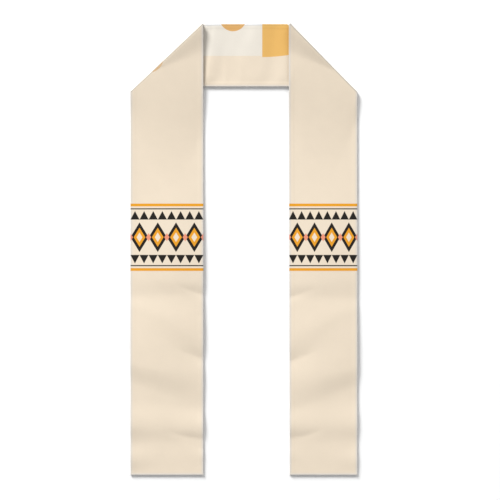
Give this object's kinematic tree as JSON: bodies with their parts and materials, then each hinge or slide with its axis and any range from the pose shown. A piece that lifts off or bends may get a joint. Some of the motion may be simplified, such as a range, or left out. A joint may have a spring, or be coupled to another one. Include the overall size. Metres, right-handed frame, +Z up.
{
  "type": "graduation stole",
  "caption": "Long satin band worn round the neck, lying flat with its shoulders folded over and its straight legs side by side.",
  "frame": {"origin": "middle of the stole's outline, on the surface that it lies on", "axes": "+Y towards the neck strip, +Z up from the surface, +X to the right as seen from above"},
  "size_m": [0.4118, 0.8184, 0.0125],
  "materials": {
    "outside_satin": "cream printed satin with a soft sheen",
    "inside_satin": "cream and off-white printed satin with a soft sheen"
  },
  "bodies": {
    "root": {"front_cloth": "outside_satin", "back_cloth": "inside_satin"}
  },
  "joints": []
}
